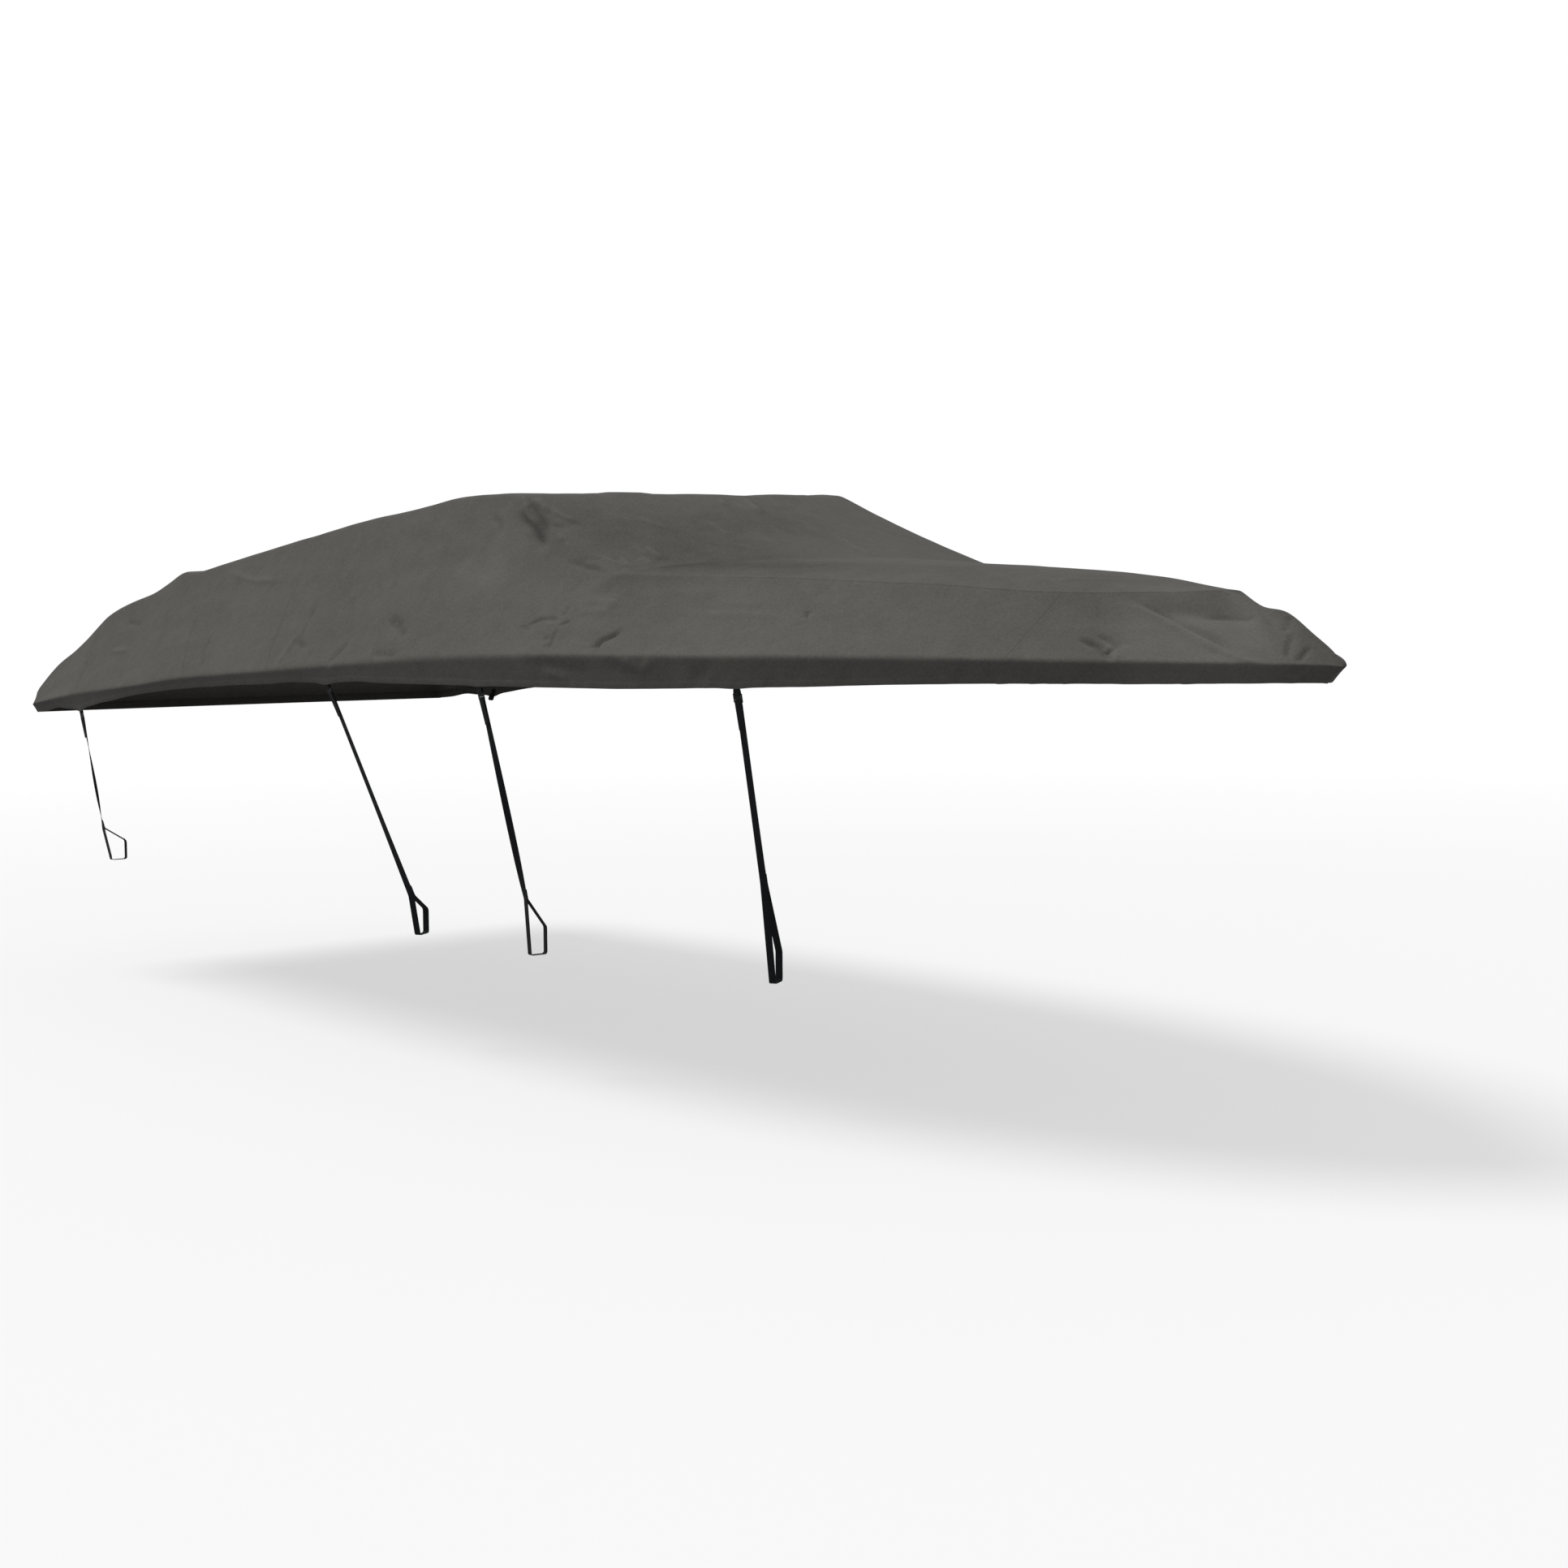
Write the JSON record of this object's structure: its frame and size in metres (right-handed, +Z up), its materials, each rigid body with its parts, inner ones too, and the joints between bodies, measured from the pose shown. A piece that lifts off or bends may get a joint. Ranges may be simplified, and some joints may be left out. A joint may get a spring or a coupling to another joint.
{
  "type": "fitted boat cover",
  "caption": "Fitted fabric cover for a small motorboat, shaped as worn: raised crest, tapering foredeck, skirt with turned hem, webbing tie-down straps and hem tabs.",
  "frame": {"origin": "underside of the cloth on the crest, on the centreline, where the covered boat's top holds it up", "axes": "+X along the cover towards the bow, +Y to port, +Z up"},
  "size_m": [6.89, 2.486, 1.7283],
  "materials": {
    "cloth": "matt coated polyester cloth, warm dark grey",
    "webbing": "black woven polypropylene webbing, slight sheen",
    "buckle": "black moulded plastic"
  },
  "bodies": {
    "root": {"panel_stern": "cloth", "panel_aft_1": "cloth", "panel_aft_2": "cloth", "panel_aft_3": "cloth", "panel_crest": "cloth", "panel_deck": "cloth", "side_fore_1_starboard": "cloth", "side_fore_2_starboard": "cloth", "side_fore_3_starboard": "cloth", "side_fore_1_port": "cloth", "side_fore_2_port": "cloth", "side_fore_3_port": "cloth", "tab_starboard_1": "webbing", "tab_starboard_2": "webbing", "tab_starboard_3": "webbing", "tab_starboard_4": "webbing", "tab_port_1": "webbing", "tab_port_2": "webbing", "tab_port_3": "webbing", "tab_port_4": "webbing", "strap_1": "webbing", "strap_2": "webbing", "strap_3": "webbing", "strap_4": "webbing", "buckle_1": "buckle", "buckle_2": "buckle", "buckle_3": "buckle", "buckle_4": "buckle"}
  },
  "joints": []
}
